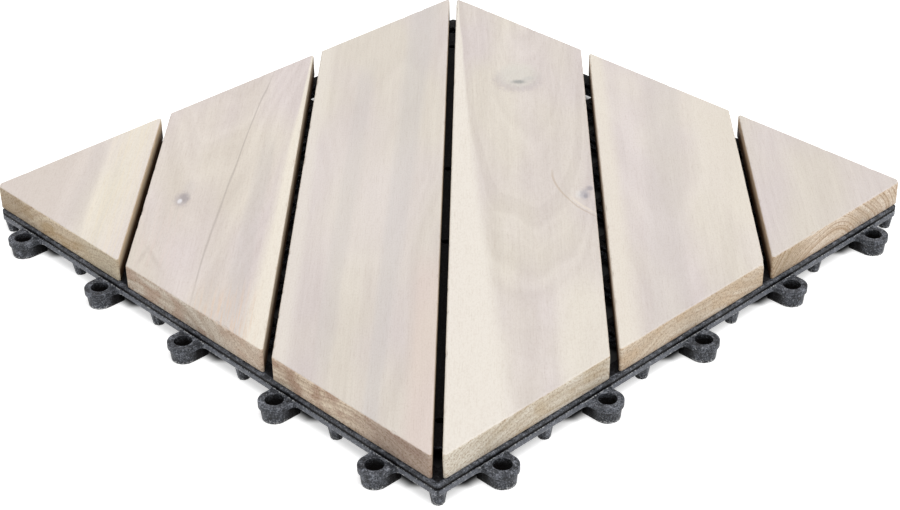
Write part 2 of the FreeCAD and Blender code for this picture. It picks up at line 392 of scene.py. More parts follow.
        half = wood.add("Math MAXIMUM", {0: curve(*band.width), 1: 0.05})
        ratio = wood.add("Math DIVIDE", {0: wood.apart(across, curve(*band.centre)), 1: half})
        factor = wood.add("MapRange SMOOTHSTEP", {"From Min": 1 + band.soft, "From Max": 1 - band.soft,
                                                  "To Max": band.strength, "Value": ratio})
        for end, fade in zip(band.along, (band.fade, -band.fade)):
            past = wood.add("MapRange SMOOTHSTEP", {"From Min": end - fade, "From Max": end + fade,
                                                    "Value": wood.along})
            factor = wood.add("Math MULTIPLY", {0: factor, 1: past})
        if band.flecked:
            flecks = wood.add("MapRange", {"From Min": 0.48, "From Max": 0.62, "Value": wood.fibre})
            factor = wood.add("Math MULTIPLY", {0: factor, 1: flecks})
        return wood.add("Mix RGBA", {"Factor": factor, "A": colour, "B": linear(band.colour)})

    def with_spot(self, wood: Grain, colour: Socket, spot: Spot) -> Socket:
        """Lay an oval patch over a colour, where the scaled distance from its middle is under 1.

        Args:
            wood: The board's nodes.
            colour: What lies below.
            spot: The patch.

        Returns:
            The colour with the patch on it.
        """
        scaled = wood.add("Mapping", {"vector_type": "TEXTURE", "Vector": wood.place,
                                      "Location": (*spot.place, 0.0), "Rotation": (0.0, 0.0, spot.turn),
                                      "Scale": (*spot.half, 0.0)})
        length = wood.add("VectorMath LENGTH", {0: scaled})
        rough = wood.streaks(1.6, 2.4, 2.0)
        ragged = wood.add("Math MULTIPLY_ADD", {0: rough, 1: 0.8, 2: length})
        inside = wood.add("MapRange SMOOTHSTEP", {"From Min": 1.4 + spot.soft, "From Max": 1.4 - spot.soft,
                                                  "To Max": spot.strength, "Value": ragged})
        return wood.add("Mix RGBA", {"Factor": inside, "A": colour, "B": linear(spot.colour)})

    def with_pores(self, wood: Grain, colour: Socket) -> Socket:
        """Darken the open pores, dashes 0.4 mm wide, and fleck the wash with specks of 0.6 mm.

        Both are drawn wider than life so that they show.

        Args:
            wood: The board's nodes.
            colour: The washed colour.

        Returns:
            The colour with pores and specks.
        """
        depth = wood.add("MapRange", {"From Min": 0.54, "From Max": 0.76, "To Max": 0.18,
                                      "Value": wood.streaks(0.4, 9.0, 2.0)})
        fleck = wood.add("MapRange", {"From Min": 0.45, "From Max": 0.7, "To Max": 0.24,
                                      "Value": wood.streaks(0.6, 1.4, 2.0)})
        for factor, tint in ((depth, "#C4B7A6"), (fleck, "#DED7CF")):
            colour = wood.add("Mix RGBA", {"blend_type": "MULTIPLY", "Factor": factor, "A": colour,
                                           "B": linear(tint)})
        return colour

    def side_colour(self, wood: Grain, rings: Socket, count: Socket) -> Socket:
        """Colour of the sawn ends and sides.

        The ends are pale tan with soft rings, wider stains, bands, thin ring lines and a fine speckle.
        On the long sides in the gaps the wash runs over the upper few millimetres, lighter or darker per
        board as painted light, and below it the bare wood is painted dark brown as shade of the deep gap.

        Args:
            wood: The board's nodes.
            rings: The growth rings.
            count: The ring number.

        Returns:
            The colour.
        """
        share = wood.add("MapRange", {"From Min": 0.34, "From Max": 0.66, "Value": rings})
        tone = wood.add("Mix RGBA", {"Factor": share, "A": linear(self.end_dark),
                                     "B": linear(self.end_light)})
        wide = wood.add("Mapping", {"Scale": (0.09, 0.09, 0.16), "Location": (self.seed, 0.0, 0.0),
                                    "Vector": wood.place})
        cloud = wood.add("TexNoise", {"Scale": 1.0, "Detail": 3.0, "Vector": wide})
        stained = wood.add("MapRange", {"From Min": 0.48, "From Max": 0.62, "To Max": 0.8, "Value": cloud})
        tone = wood.add("Mix RGBA", {"Factor": stained, "A": tone, "B": linear(self.stain)})
        for band in self.end_bands:
            tone = self.with_band(wood, tone, band, wood.across)
        lines = wood.add("TexNoise 1D", {"Scale": 3.2, "Detail": 1.0, "W": count})
        thin = wood.add("MapRange", {"From Min": 0.5, "From Max": 0.66, "To Max": self.lines,
                                     "Value": lines})
        fine = wood.add("Mapping", {"Scale": (1.0, 1.0, 1.3), "Vector": wood.place})
        speckle = wood.add("TexNoise", {"Scale": 1.0, "Detail": 3.0, "Roughness": 0.7, "Vector": fine})
        dots = wood.add("MapRange", {"From Min": 0.47, "From Max": 0.66, "To Max": 0.75, "Value": speckle})
        for factor, tint in ((thin, "#C9AC90"), (dots, "#BCA78E")):
            tone = wood.add("Mix RGBA", {"blend_type": "MULTIPLY", "Factor": factor, "A": tone,
                                         "B": linear(tint)})
        slant = math.sqrt(0.5)
        facing = wood.add("NewGeometry").outputs["Normal"]
        across = wood.add("VectorMath DOT_PRODUCT", {0: facing, 1: (slant, slant, 0.0)})
        size = wood.add("Math ABSOLUTE", {0: across})
        long_side = wood.add("MapRange", {"From Min": 0.8, "From Max": 0.93, "Value": size})
        # Darker towards the bottom of the long sides: painted shade in the gaps.
        level = wood.add("Math MULTIPLY_ADD", {0: wood.fibre, 1: 3.0, 2: wood.height})
        washed, bare = self.spill_end
        below = wood.add("MapRange SMOOTHSTEP", {"From Min": washed, "From Max": bare, "Value": level})
        edge = wood.add("Mix RGBA", {"Factor": below, "A": linear(self.lit_overspill),
                                     "B": linear(self.gap_shade)})
        return wood.add("Mix RGBA", {"Factor": long_side, "A": tone, "B": edge})

    def wash_mask(self, wood: Grain) -> Socket:
        """Where the wash lies: on what faces up, and unevenly round the arris.

        Args:
            wood: The board's nodes.

        Returns:
            The share of wash.
        """
        up = wood.add("SeparateXYZ", {0: wood.add("NewGeometry").outputs["Normal"]}).outputs["Z"]
        uneven = wood.add("Math MULTIPLY_ADD", {0: wood.fibre, 1: 0.5, 2: up})
        return wood.add("MapRange SMOOTHSTEP", {"From Min": 0.55, "From Max": 1.05, "Value": uneven})

    def relief(self, wood: Grain) -> Socket:
        """Raised grain of brushed wood, under a tenth of a millimetre high, as a normal."""
        height = wood.add("Math MULTIPLY_ADD", {0: wood.streaks(0.5, 5.0, 1.0), 1: -0.6, 2: wood.fibre})
        return wood.add("Bump", {"Strength": 0.5, "Distance": 0.15 * MM, "Height": height})


# ---------------------------------------------------------------- slats


@dataclass
class Slat:
    """One board: a flat trapezoid with rounded corners, eased arrises and small nicks.

    Its outline is an inner outline B pushed out along its normals N. A ring of the surface that is
    inset by d lies at B + (corner - d) N, so all rings share their points, and the board is the
    grid of rings by outline points, closed by a flat face below and above.
    """

    name: str
    node: str
    low: float
    high: float
    finish: WhitewashedAcacia
    seed: int
    chips: tuple[tuple[float, float, float, float], ...] = ()
    reach: float = 148.5 * math.sqrt(2)
    bottom: float = 11.0
    top: float = 22.5
    levels: tuple[float, ...] = (14.5, 17.5, 20.0)
    corner: float = 1.0
    top_arris: float = 0.8
    top_inset: float = 0.94
    bottom_arris: float = 0.4
    step: float = 0.9
    arc_points: int = 5
    nick_depth: tuple[float, float] = (0.12, 0.45)
    nick_width: tuple[float, float] = (0.7, 2.2)
    nick_spacing: float = 26.0
    least_push: float = 0.03
    nick_drop: float = 0.7
    waves: tuple[int, ...] = (3, 7, 11, 19, 31)
    wave_depth: float = 0.01
    wave_seed: int = 50

    def inner_corners(self) -> tuple[np.ndarray, np.ndarray]:
        """Corners of the inner outline and the outward directions of the sides that start there.

        A side of the square tile lies where |v| = reach - |u|. Drawn in by d it moves by d sqrt(2)
        along v, and a long side moves by d along u.

        Returns:
            The four corners, anticlockwise from (low, -v), as (u, v), and for each the angle of the
            outward normal of the side that leaves it.
        """
        d = self.corner
        edges = np.array([self.low + d, self.high - d])
        ends = self.reach - np.abs(edges) - d * math.sqrt(2)
        corners = np.stack([edges[[0, 1, 1, 0]], ends[[0, 1, 1, 0]] * (-1, -1, 1, 1)], axis=1)
        lean = math.pi / 4 if self.low > 0 else 3 * math.pi / 4
        return corners, np.array([-lean, 0.0, lean, math.pi])

    def outline(self) -> tuple[np.ndarray, np.ndarray, np.ndarray]:
        """Points of the inner outline, their normals and their distance round the board.

        At a corner the point stays and the normal turns from one side's to the next's; along a side
        the normal stays and the point moves.

        Returns:
            Points and unit normals as (u, v), and the running length in millimetres.
        """
        corners, angles = self.inner_corners()
        points: list[np.ndarray] = []
        turns: list[np.ndarray] = []
        for k in range(4):
            here, there = corners[k], corners[(k + 1) % 4]
            before = angles[k - 1] - (2 * math.pi if k == 0 else 0.0)
            arc = np.linspace(before, angles[k], self.arc_points)
            count = max(int(np.linalg.norm(there - here) / self.step), 2)
            share = np.arange(1, count)[:, None] / count
            points += [np.repeat(here[None], len(arc), axis=0), here + (there - here) * share]
            turns += [arc, np.full(count - 1, angles[k])]
        place = np.concatenate(points)
        turn = np.concatenate(turns)
        normal = np.stack([np.cos(turn), np.sin(turn)], axis=1)
        rim = place + self.corner * normal
        length = np.concatenate([[0.0], np.cumsum(np.linalg.norm(np.diff(rim, axis=0), axis=1))])
        return place, normal, length

    def rings(self) -> tuple[np.ndarray, np.ndarray, np.ndarray]:
        """Insets, heights and wear of the rings, from the bottom face to the top face.

        The upper arris is a quarter circle of radius r: inset r (1 - cos t), height top - r (1 - sin t).

        Returns:
            The inset and height of each ring in millimetres, and how much wear bites into it.
        """
        t = np.linspace(0.0, math.pi / 2, 5)
        low = self.bottom_arris
        inset = np.concatenate([[low, 0.3 * low, 0.0], np.zeros(len(self.levels)),
                                self.top_arris * (1 - np.cos(t)), [self.top_inset]])
        height = np.concatenate([[self.bottom, self.bottom + 0.3 * low, self.bottom + low], self.levels,
                                 self.top - self.top_arris * (1 - np.sin(t)), [self.top]])
        wear = np.array([0.0, 0.0, 0.0, 0.0, 0.0, 0.1, 0.45, 0.9, 1.0, 0.8, 0.4, 0.0])
        return inset, height, wear

    def wear(self, length: np.ndarray, rim: np.ndarray) -> np.ndarray:
        """Depth of the nicks and chips along the upper arris.

        The nicks are bells at seeded places round the board, and the deepest counts. The chips are
        wider bells at named places of the rim, and they add to the nicks.

        Args:
            length: Distance round the board of each outline point, in millimetres.
            rim: Outline points as (u, v).

        Returns:
            The depth at each point in millimetres.
        """
        chance = np.random.default_rng(self.seed)
        count = int(length[-1] / self.nick_spacing)
        middle = chance.uniform(0, length[-1], count)
        width = chance.uniform(*self.nick_width, count)
        depth = chance.uniform(*self.nick_depth, count) * chance.uniform(0.2, 1.0, count)
        nicks = depth * np.exp(-((length[:, None] - middle) / width) ** 2)
        chipped = np.zeros(len(rim))
        for u, v, size, bite in self.chips:
            away = np.hypot(rim[:, 0] - u, rim[:, 1] - v)
            chipped = np.maximum(chipped, bite * np.exp(-(away / size) ** 2))
        return nicks.max(axis=1) + chipped

    def waver(self, length: np.ndarray) -> np.ndarray:
        """Slow unevenness of the sawn sides, inwards by up to a tenth of a millimetre: a sum of sines.

        Args:
            length: Distance round the board of each outline point, in millimetres.

        Returns:
            The depth at each point in millimetres.
        """
        chance = np.random.default_rng(self.seed + self.wave_seed)
        phase = chance.uniform(0, 2 * math.pi, len(self.waves))
        angle = 2 * math.pi * length[:, None] / length[-1] * np.array(self.waves) + phase
        return self.wave_depth * (1 + np.sin(angle)).sum(axis=1)

    def mesh(self) -> bpy.types.Mesh:
        """Work out the surface of the board.

        Each ring is pushed out less, and sits lower, where it is worn. All but the top face waver.

        Returns:
            The mesh, closed and with its faces outwards.
        """
        place, normal, length = self.outline()
        inset, height, wear = self.rings()
        bite = wear[:, None] * self.wear(length, place + self.corner * normal)
        loss = inset[:, None] + bite + self.waver(length) * (inset < self.top_inset)[:, None]
        push = np.maximum(self.corner - loss, self.least_push)
        u, v = np.moveaxis(place + push[..., None] * normal, -1, 0)
        z = height[:, None] - self.nick_drop * bite * (inset > 0)[:, None]
        return shell(self.name, np.stack([u - v, u + v, z * math.sqrt(2)], axis=-1)[None] / math.sqrt(2))

    def build(self) -> bpy.types.Object:
        """Make the board and let it stand for its CAD node.

        Returns:
            The board's object.
        """
        board = put(self.name, self.mesh())
        board.data.materials.append(self.finish.build(self.name + "_whitewashed_acacia"))
        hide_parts(self.node)
        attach(board, "root")
        return board


@dataclass
class Slats:
    """The six boards, from the left corner to the right one, each with its own figure."""

    width: float = 66.3
    gap: float = 3.8
    first_seed: int = 11

    def figures(self) -> list[tuple[str, WhitewashedAcacia, tuple[tuple[float, float, float, float], ...]]]:
        """The CAD node, finish and chips of each board, from left to right.

        Returns:
            One entry for each board.
        """
        # Each board's gap-side wash colour is set to how brightly that side is lit: painted light.
        corner_left = WhitewashedAcacia(
            light="#F1EAE1", dark="#E5DED4", seed=3.1, pith=(-150.0, -38.0), lean=(0.05, 0.03), ring=3.4,
            contrast=0.8, end_light="#EBDCC3", end_dark="#D5C1A7", stain="#C9B08B", lit_overspill="#FFE8C8",
            bands=(
                Band("#D8CDC6", 0.85, (-195.0, 3.0), (24.0,), soft=0.35),
                Band("#CCC2BD", 0.5, (-167.5, 2.5), (4.0, -2.5), (-45.0, 45.0), 0.8),
                Band("#E8DABD", 0.3, (-152.0,), (9.0,), flecked=True),
            ),
            end_bands=(Band("#BFAD95", 0.75, (-207.0,), (14.0,)), Band("#DDD1B9", 0.8, (-148.0,), (14.0,))),
        )
        outer_left = WhitewashedAcacia(
            light="#E5DDD7", dark="#D8CFC9", seed=8.4, pith=(-118.0, -20.0), lean=(0.03, 0.10), ring=3.0,
            end_light="#EADFD0", end_dark="#D4C5B3", stain="#CAB09C", lit_overspill="#C4B49E",
            end_bands=(Band("#ECD6C0", 0.5, (-73.0,), (14.0,)),),
            bands=(
                Band("#CCC5C1", 0.4, (-86.5, 2.0), (3.5, -0.5), (-120.0, 40.0)),
                Band("#F0E8DA", 0.9, (-72.0,), (5.4, -3.6), soft=0.4),
                Band("#A99F98", 0.45, (-101.8, 6.7, 2.6), (0.4,), (-95.0, 110.0), 0.7),
                Band("#E3C3A6", 0.5, (-92.0,), (13.0,), (-150.0, -95.0), flecked=True),
                Band("#DFCBC4", 0.3, (-128.0,), (9.0,), (-80.0, -20.0), flecked=True),
            ),
            spots=(
                Spot("#D0C8C4", 0.35, (-119.0, -4.5), (2.5, 7.0), 0.0, 0.6),
                Spot("#B3AAAC", 0.6, (-121.3, -15.0), (3.3, 6.2), 0.0, 0.5),
                Spot("#918B90", 0.45, (-120.2, -13.2), (2.1, 4.0), 0.0, 0.6),
                Spot("#EFEDF0", 0.8, (-122.0, -16.2), (1.0, 2.0), 0.0, 0.5),
                Spot("#BEB2A9", 0.36, (-132.0, -64.1), (1.0, 7.5), -0.2, 0.8),
                Spot("#BEB2A9", 0.32, (-127.0, -65.6), (1.0, 9.5), 0.41, 0.8),
            ),
        )
        middle_left = WhitewashedAcacia(
            light="#E3DCD6", dark="#D7CFC9", seed=14.2, pith=(-30.0, -60.0), lean=(0.04, 0.02), ring=3.6,
            contrast=0.9, end_light="#FCECD6", end_dark="#E3CEB6", stain="#C3A28C", lit_overspill="#D8C8B0",
            end_bands=(Band("#AC968A", 0.75, (-2.0,), (27.0,)),),
            bands=(
                Band("#EAE2DA", 0.5, (-36.0,), (20.0,), (-70.0, 45.0), fade=40.0),
                Band("#CCC7C6", 0.4, (-21.0, 3.0), (5.0, 1.0)),
                Band("#CDC7C3", 0.35, (-45.0, 2.0), (4.0,), (-150.0, 120.0)),
                Band("#EBE4DA", 0.6, (-67.0,), (5.0,)),
                Band("#E4D2C8", 0.5, (-6.0,), (7.0,), (-220.0, -70.0)),
            ),
        )
        middle_right = WhitewashedAcacia(
            light="#E6DFD9", dark="#D8D0CA", seed=21.7, pith=(38.0, -4.0), lean=(0.0, 0.14), ring=3.4,
            contrast=0.95, end_light="#F0E7D7", end_dark="#DCCFB9", stain="#D9C8AD", lit_overspill="#E4D6C2",
            end_bands=(Band("#F3ECDD", 0.8, (2.0,), (14.0,)),),
            bands=(
                Band("#EFE8DE", 0.9, (1.9,), (12.0, -7.2, 0.8), soft=0.2),
                Band("#EBE4D7", 0.7, (60.0,), (12.0,), (-240.0, -85.0)),
                Band("#BCA78E", 0.45, (49.9, -19.5, 108.0), (0.45,), (-33.0, 10.0), 0.7, 6.0),
                Band("#F1E5D5", 0.5, (52.3, -19.5, 108.0), (0.9,), (-30.0, -14.0), 0.6, 6.0),
            ),
            spots=(
                Spot("#B4A9AE", 0.52, (34.4, 106.4), (11.2, 12.6), 0.0, 0.35),
                Spot("#DFDAD1", 0.85, (34.6, 111.4), (9.6, 13.2)),
                Spot("#7E8386", 0.62, (34.9, 103.9), (3.2, 1.9), 0.0, 0.8),
                Spot("#C9C6C2", 0.5, (39.8, 107.5), (3.0, 2.2), 0.5, 0.5),
                Spot("#ECE9E7", 0.5, (60.8, -11.5), (1.4, 3.2), 0.0, 0.5),
                Spot("#A9A7B0", 0.6, (63.3, -11.6), (2.1, 4.2), 0.0, 0.6),
                Spot("#8E8B95", 0.5, (63.9, -13.0), (0.8, 2.0), 0.0, 0.6),
                Spot("#9A96A0", 0.6, (65.9, -6.0), (1.6, 2.2), 0.0, 0.6),
            ),
        )
        outer_right = WhitewashedAcacia(
            light="#E7E0DA", dark="#DAD2CC", seed=29.5, pith=(95.0, -45.0), lean=(-0.06, 0.07), ring=3.2,
            end_light="#F1E3CF", end_dark="#DDC9B0", stain="#E0C9AC", lit_overspill="#EDDFCE",
            bands=(
                Band("#EBE3D6", 0.8, (72.0,), (8.0, -1.0)),
                Band("#EAE2D4", 0.6, (137.0,), (13.0, 9.0), (-40.0, 200.0)),
                Band("#D2CBC6", 0.35, (101.0, 6.0), (8.0,)),
            ),
        )
        corner_right = WhitewashedAcacia(
            light="#E3DCD6", dark="#D8D0CB", seed=37.3, pith=(169.1, 2.0), lean=(0.02, 0.0), ring=2.8,
            contrast=0.7, end_light="#FCEDDB", end_dark="#E4D0B8", stain="#E6D1B7", lit_overspill="#D8C1A6",
            lines=0.5, end_bands=(Band("#C3AD8E", 0.6, (143.0,), (16.0,)),),
        )
        return [
            ("corner_slat_left", corner_left, ()),
            ("outer_slat_left", outer_left, ()),
            ("middle_slat_left", middle_left, ()),
            ("middle_slat_right", middle_right, ((3.4, 204.0, 2.5, 0.9),)),
            ("outer_slat_right", outer_right, ((137.6, -70.6, 2.0, 0.9), (134.4, -73.5, 1.2, 0.6))),
            ("corner_slat_right", corner_right, ()),
        ]

    def build(self) -> None:
        """Make all six boards, side by side at the slats' pitch, the middle gap at u = 0."""
        for k, (node, finish, chips) in enumerate(self.figures()):
            low = (k - 3) * (self.width + self.gap) + self.gap / 2
            slat = Slat(node.replace("slat", "board"), node, low, low + self.width, finish,
                        self.first_seed + k, chips)
            LOG.info("%s: %d points", slat.name, len(slat.build().data.vertices))


# ---------------------------------------------------------------- base and screws


@dataclass(frozen=True)
class CharcoalPolypropylene:
    """Injection-moulded recycled polypropylene: charcoal, with a soft sheen and pale scuffs.

    The moulded skin is cloudy and has a fine orange-peel texture; its pale patches are partly painted
    sheen. Its edges are rubbed grey, partly as painted highlight, and the flange's face is paler, part
    rub and part painted light. Specks of pale dust lie on it, with painted glints on the flange's
    edges. Recesses, the rim's groove, the gaps and the loops' roots under the rim are dark and dull
    with painted shade, and whatever touches the ground is scuffed almost white in places, partly as
    painted glints.
    """

    deep: str = "#131417"
    skin: str = "#393C42"
    # Next three colours: pale for rubbed edges and painted highlights, pale for dust and painted glints,
    # near-black for painted shade.
    rub_and_highlight: str = "#969AA4"
    dust_and_glint: str = "#E6E7E6"
    painted_shade: str = "#090605"
    edge: float = 0.45
    recess: float = 11.0
    rim_bottom: float = 6.0
    flange_top: float = 8.4
    rim_face: float = 149.65
    wood_edge: float = 147.8
    root_half: tuple[float, float] = (17.0, 14.0)

    def build(self, name: str) -> bpy.types.Material:
        """Make the material.

        Args:
            name: Name of the material.

        Returns:
            The finished material.
        """
        material = bpy.data.materials.new(name)
        skin = Nodes(material)
        place = skin.ruler()
        z = skin.add("SeparateXYZ", {0: place}).outputs["Z"]
        reach, beside = skin.square_plan(place)
        blotch = skin.add("TexNoise", {"Scale": 0.28, "Detail": 5.0, "Roughness": 0.72, "Vector": place})
        fine = skin.add("TexNoise", {"Scale": 1.4, "Detail": 4.0, "Roughness": 0.75, "Vector": place})
        # Mottled skin; its pale patches are partly painted sheen.
        cloudy = skin.add("Mix FLOAT", {"Factor": 0.6, "A": blotch, "B": fine})
        stops = ((0.4, linear(self.deep)), (0.5, linear(self.skin)), (0.63, linear(self.rub_and_highlight)))
        colour = skin.add("ValToRGB", {"stops": stops, "Fac": cloudy})
        rounded = skin.add("Bevel", {"samples": 4, "Radius": self.edge * MM})
        # Painted shade: recesses, the groove, the gaps and the loops' roots under the rim.
        painted_shade_share = self.painted_shade_share(skin, z, reach, beside)
        # Pale edges and flange face, part wear and part painted light; pale specks and glints; then the
        # painted shade over all.
        layers = ((self.rub_and_highlight, self.edge_rub_and_highlight(skin, rounded, blotch)),
                  (self.rub_and_highlight, self.flange_rub_and_light(skin, z, reach)),
                  (self.dust_and_glint, self.scuffs_and_glints(skin, z, reach, fine)), (self.painted_shade, painted_shade_share))
        for tint, share in layers:
            colour = skin.add("Mix RGBA", {"Factor": share, "A": colour, "B": linear(tint)})
        # Specular falls with the painted shade, so shaded places reflect little.
        shine = skin.add("MapRange", {"To Min": 0.3, "To Max": 0.03, "Value": painted_shade_share})
        gloss = skin.add("MapRange", {"From Min": 0.3, "From Max": 0.7, "To Min": 0.36, "To Max": 0.6,
                                      "Value": blotch})
        bump = skin.add("Bump", {"Strength": 0.8, "Distance": 0.3 * MM, "Height": fine, "Normal": rounded})
        surface = skin.add("BsdfPrincipled", {"IOR": 1.49, "Base Color": colour, "Roughness": gloss,
                                              "Specular IOR Level": shine, "Normal": bump})
        skin.add("OutputMaterial", {"Surface": surface})
        return material

    def edge_rub_and_highlight(self, skin: Nodes, rounded: Socket, blotch: Socket) -> Socket:
        """Where an edge is rubbed pale, part wear and part painted highlight: the rounded normal leaves
        the face's own, and the noise is high.

        Args:
            skin: The plastic's nodes.
            rounded: Normal with its edges rounded.
            blotch: The cloudy noise.

        Returns:
            The share of pale rub and highlight colour.
        """
        facing = skin.add("NewGeometry").outputs["True Normal"]
        alike = skin.add("VectorMath DOT_PRODUCT", {0: rounded, 1: facing})
        turn = skin.add("MapRange", {"From Min": 0.99, "From Max": 0.8, "Value": alike})
        patch = skin.add("MapRange", {"From Min": 0.36, "From Max": 0.6, "To Min": 0.12, "To Max": 0.75,
                                      "Value": blotch})
        return skin.add("Math MULTIPLY", {0: turn, 1: patch})

    def flange_rub_and_light(self, skin: Nodes, z: Socket, reach: Socket) -> Socket:
        """Paler flange face, part rub and part painted light: below its top, where the distance out is
        the rim's.

        Args:
            skin: The plastic's nodes.
            z: Height in millimetres.
            reach: How far out a point lies, in millimetres.

        Returns:
            The share of pale rub and painted light.
        """
        face = skin.add("MapRange", {"From Min": 0.5, "From Max": 0.2, "To Max": 0.32,
                                     "Value": skin.apart(reach, self.rim_face)})
        top = self.flange_top
        under = skin.add("MapRange", {"From Min": top + 0.1, "From Max": top - 0.1, "Value": z})
        return skin.add("Math MULTIPLY", {0: face, 1: under})

    def scuffs_and_glints(self, skin: Nodes, z: Socket, reach: Socket, fine: Socket) -> Socket:
        """Pale specks, up to 1 mm wide: few on the body as dust, more near the ground as scuffs and painted
        glints, and painted glints along the flange's edges.

        Args:
            skin: The plastic's nodes.
            z: Height in millimetres.
            reach: How far out a point lies, in millimetres.
            fine: The fine noise.

        Returns:
            The share of pale colour.
        """
        low = skin.add("MapRange", {"From Min": 2.2, "From Max": 0.3, "To Max": 0.165, "Value": z})
        # Painted glints along the flange's edges, on its face only.
        half = 0.5 * (self.flange_top - self.rim_bottom)
        away = skin.apart(z, self.rim_bottom + half)
        edge = skin.add("MapRange", {"From Min": half - 0.6, "From Max": half - 0.1, "To Max": 0.135,
                                     "Value": away})
        below = skin.add("MapRange", {"From Min": half + 0.2, "From Max": half + 0.05, "Value": away})
        out = skin.apart(reach, self.rim_face)
        face = skin.add("MapRange", {"From Min": 0.6, "From Max": 0.4, "Value": out})
        for share in (face, below):
            edge = skin.add("Math MULTIPLY", {0: edge, 1: share})
        worn = skin.add("Math MAXIMUM", {0: low, 1: edge})
        lifted = skin.add("Math ADD", {0: fine, 1: worn})
        return skin.add("MapRange", {"From Min": 0.65, "From Max": 0.705, "To Max": 0.85, "Value": lifted})

    def painted_shade_share(self, skin: Nodes, z: Socket, reach: Socket, beside: Socket) -> Socket:
        """Painted shade, dark and dull: in recesses, in the rim's groove, on what faces up in gaps, and
        low on the loops' roots.

        The groove is dark from the flange's top to 1 mm above it, and fades out over the next 1.1 mm.
        The gaps lie inside the wood's edge. The roots reach 14 mm to either side of a loop's middle,
        and fade out at 17 mm.

        Args:
            skin: The plastic's nodes.
            z: Height in millimetres.
            reach: How far out a point lies, in millimetres.
            beside: How far a point lies from the nearest loop's middle, in millimetres.

        Returns:
            The share of painted shade, the largest of the four.
        """
        # Darker where the surroundings are hidden close by: painted shade in recesses.
        sky = skin.add("AmbientOcclusion", {"samples": 8, "Distance": self.recess * MM}).outputs["AO"]
        painted_shade = skin.add("MapRange SMOOTHSTEP", {"From Min": 0.52, "From Max": 0.2, "Value": sky})
        top = self.flange_top
        above = skin.add("MapRange", {"From Min": top + 0.02, "From Max": top + 0.08, "Value": z})
        groove = skin.add("MapRange SMOOTHSTEP", {"From Min": top + 2.1, "From Max": top + 1.0,
                                                  "To Min": 0.2, "To Max": 0.97, "Value": z})
        facing = skin.add("SeparateXYZ", {0: skin.add("NewGeometry").outputs["True Normal"]}).outputs["Z"]
        up = skin.add("MapRange", {"From Min": 0.4, "From Max": 0.8, "To Max": 0.88, "Value": facing})
        wood = self.wood_edge
        inside = skin.add("MapRange", {"From Min": wood + 0.4, "From Max": wood - 0.4, "Value": reach})
        clean, full = self.root_half
        side = skin.add("MapRange", {"From Min": clean, "From Max": full, "To Max": 0.9, "Value": beside})
        near = skin.add("MapRange SMOOTHSTEP", {"From Min": self.rim_face + 7.5, "Value": reach,
                                                "From Max": self.rim_face + 1.5})
        foot = self.rim_bottom
        low = skin.add("MapRange", {"From Min": foot + 0.1, "From Max": foot - 0.1, "Value": z})
        # Painted shade in the groove, on what faces up in the gaps, and under the rim beside the loops.
        for first, *others in ((above, groove), (above, up, inside), (side, near, low)):
            for other in others:
                first = skin.add("Math MULTIPLY", {0: first, 1: other})
            painted_shade = skin.add("Math MAXIMUM", {0: painted_shade, 1: first})
        return painted_shade


@dataclass(frozen=True)
class ZincPlatedSteel:
    """Bright zinc-plated steel of the screws: a pale bluish metal, slightly clouded."""

    colour: str = "#B9BDC0"
    clouded: str = "#8E9396"

    def build(self, name: str) -> bpy.types.Material:
        """Make the material.

        Args:
            name: Name of the material.

        Returns:
            The finished material.
        """
        material = bpy.data.materials.new(name)
        steel = Nodes(material)
        cloud = steel.add("TexNoise", {"Scale": 0.9, "Detail": 3.0, "Vector": steel.ruler()})
        colour = steel.add("Mix RGBA", {"Factor": cloud, "A": linear(self.clouded),
                                        "B": linear(self.colour)})
        gloss = steel.add("MapRange", {"To Min": 0.25, "To Max": 0.45, "Value": cloud})
        surface = steel.add("BsdfPrincipled", {"Metallic": 1.0, "Base Color": colour, "Roughness": gloss})
        steel.add("OutputMaterial", {"Surface": surface})
        return material


class CadNode(Enum):
    """CAD nodes below the slats: the base keeps its mesh, the screws are replaced."""

    BASE = "interlocking_base"
    SCREWS = "slat_screws"


@dataclass
class MouldedBase:
    """The one-piece base: it keeps its CAD mesh and gets its finish."""

    plastic: CharcoalPolypropylene = field(default_factory=CharcoalPolypropylene)

    def build(self) -> None:
        """Give the base its material in every slot."""
        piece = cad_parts[CadNode.BASE.value]
        material = self.plastic.build("moulded_charcoal_polypropylene")
        for slot in piece.material_slots:
            slot.material = material
        if not piece.material_slots:
            piece.data.materials.append(material)
        LOG.info("%s: %s", CadNode.BASE.value, material.name)


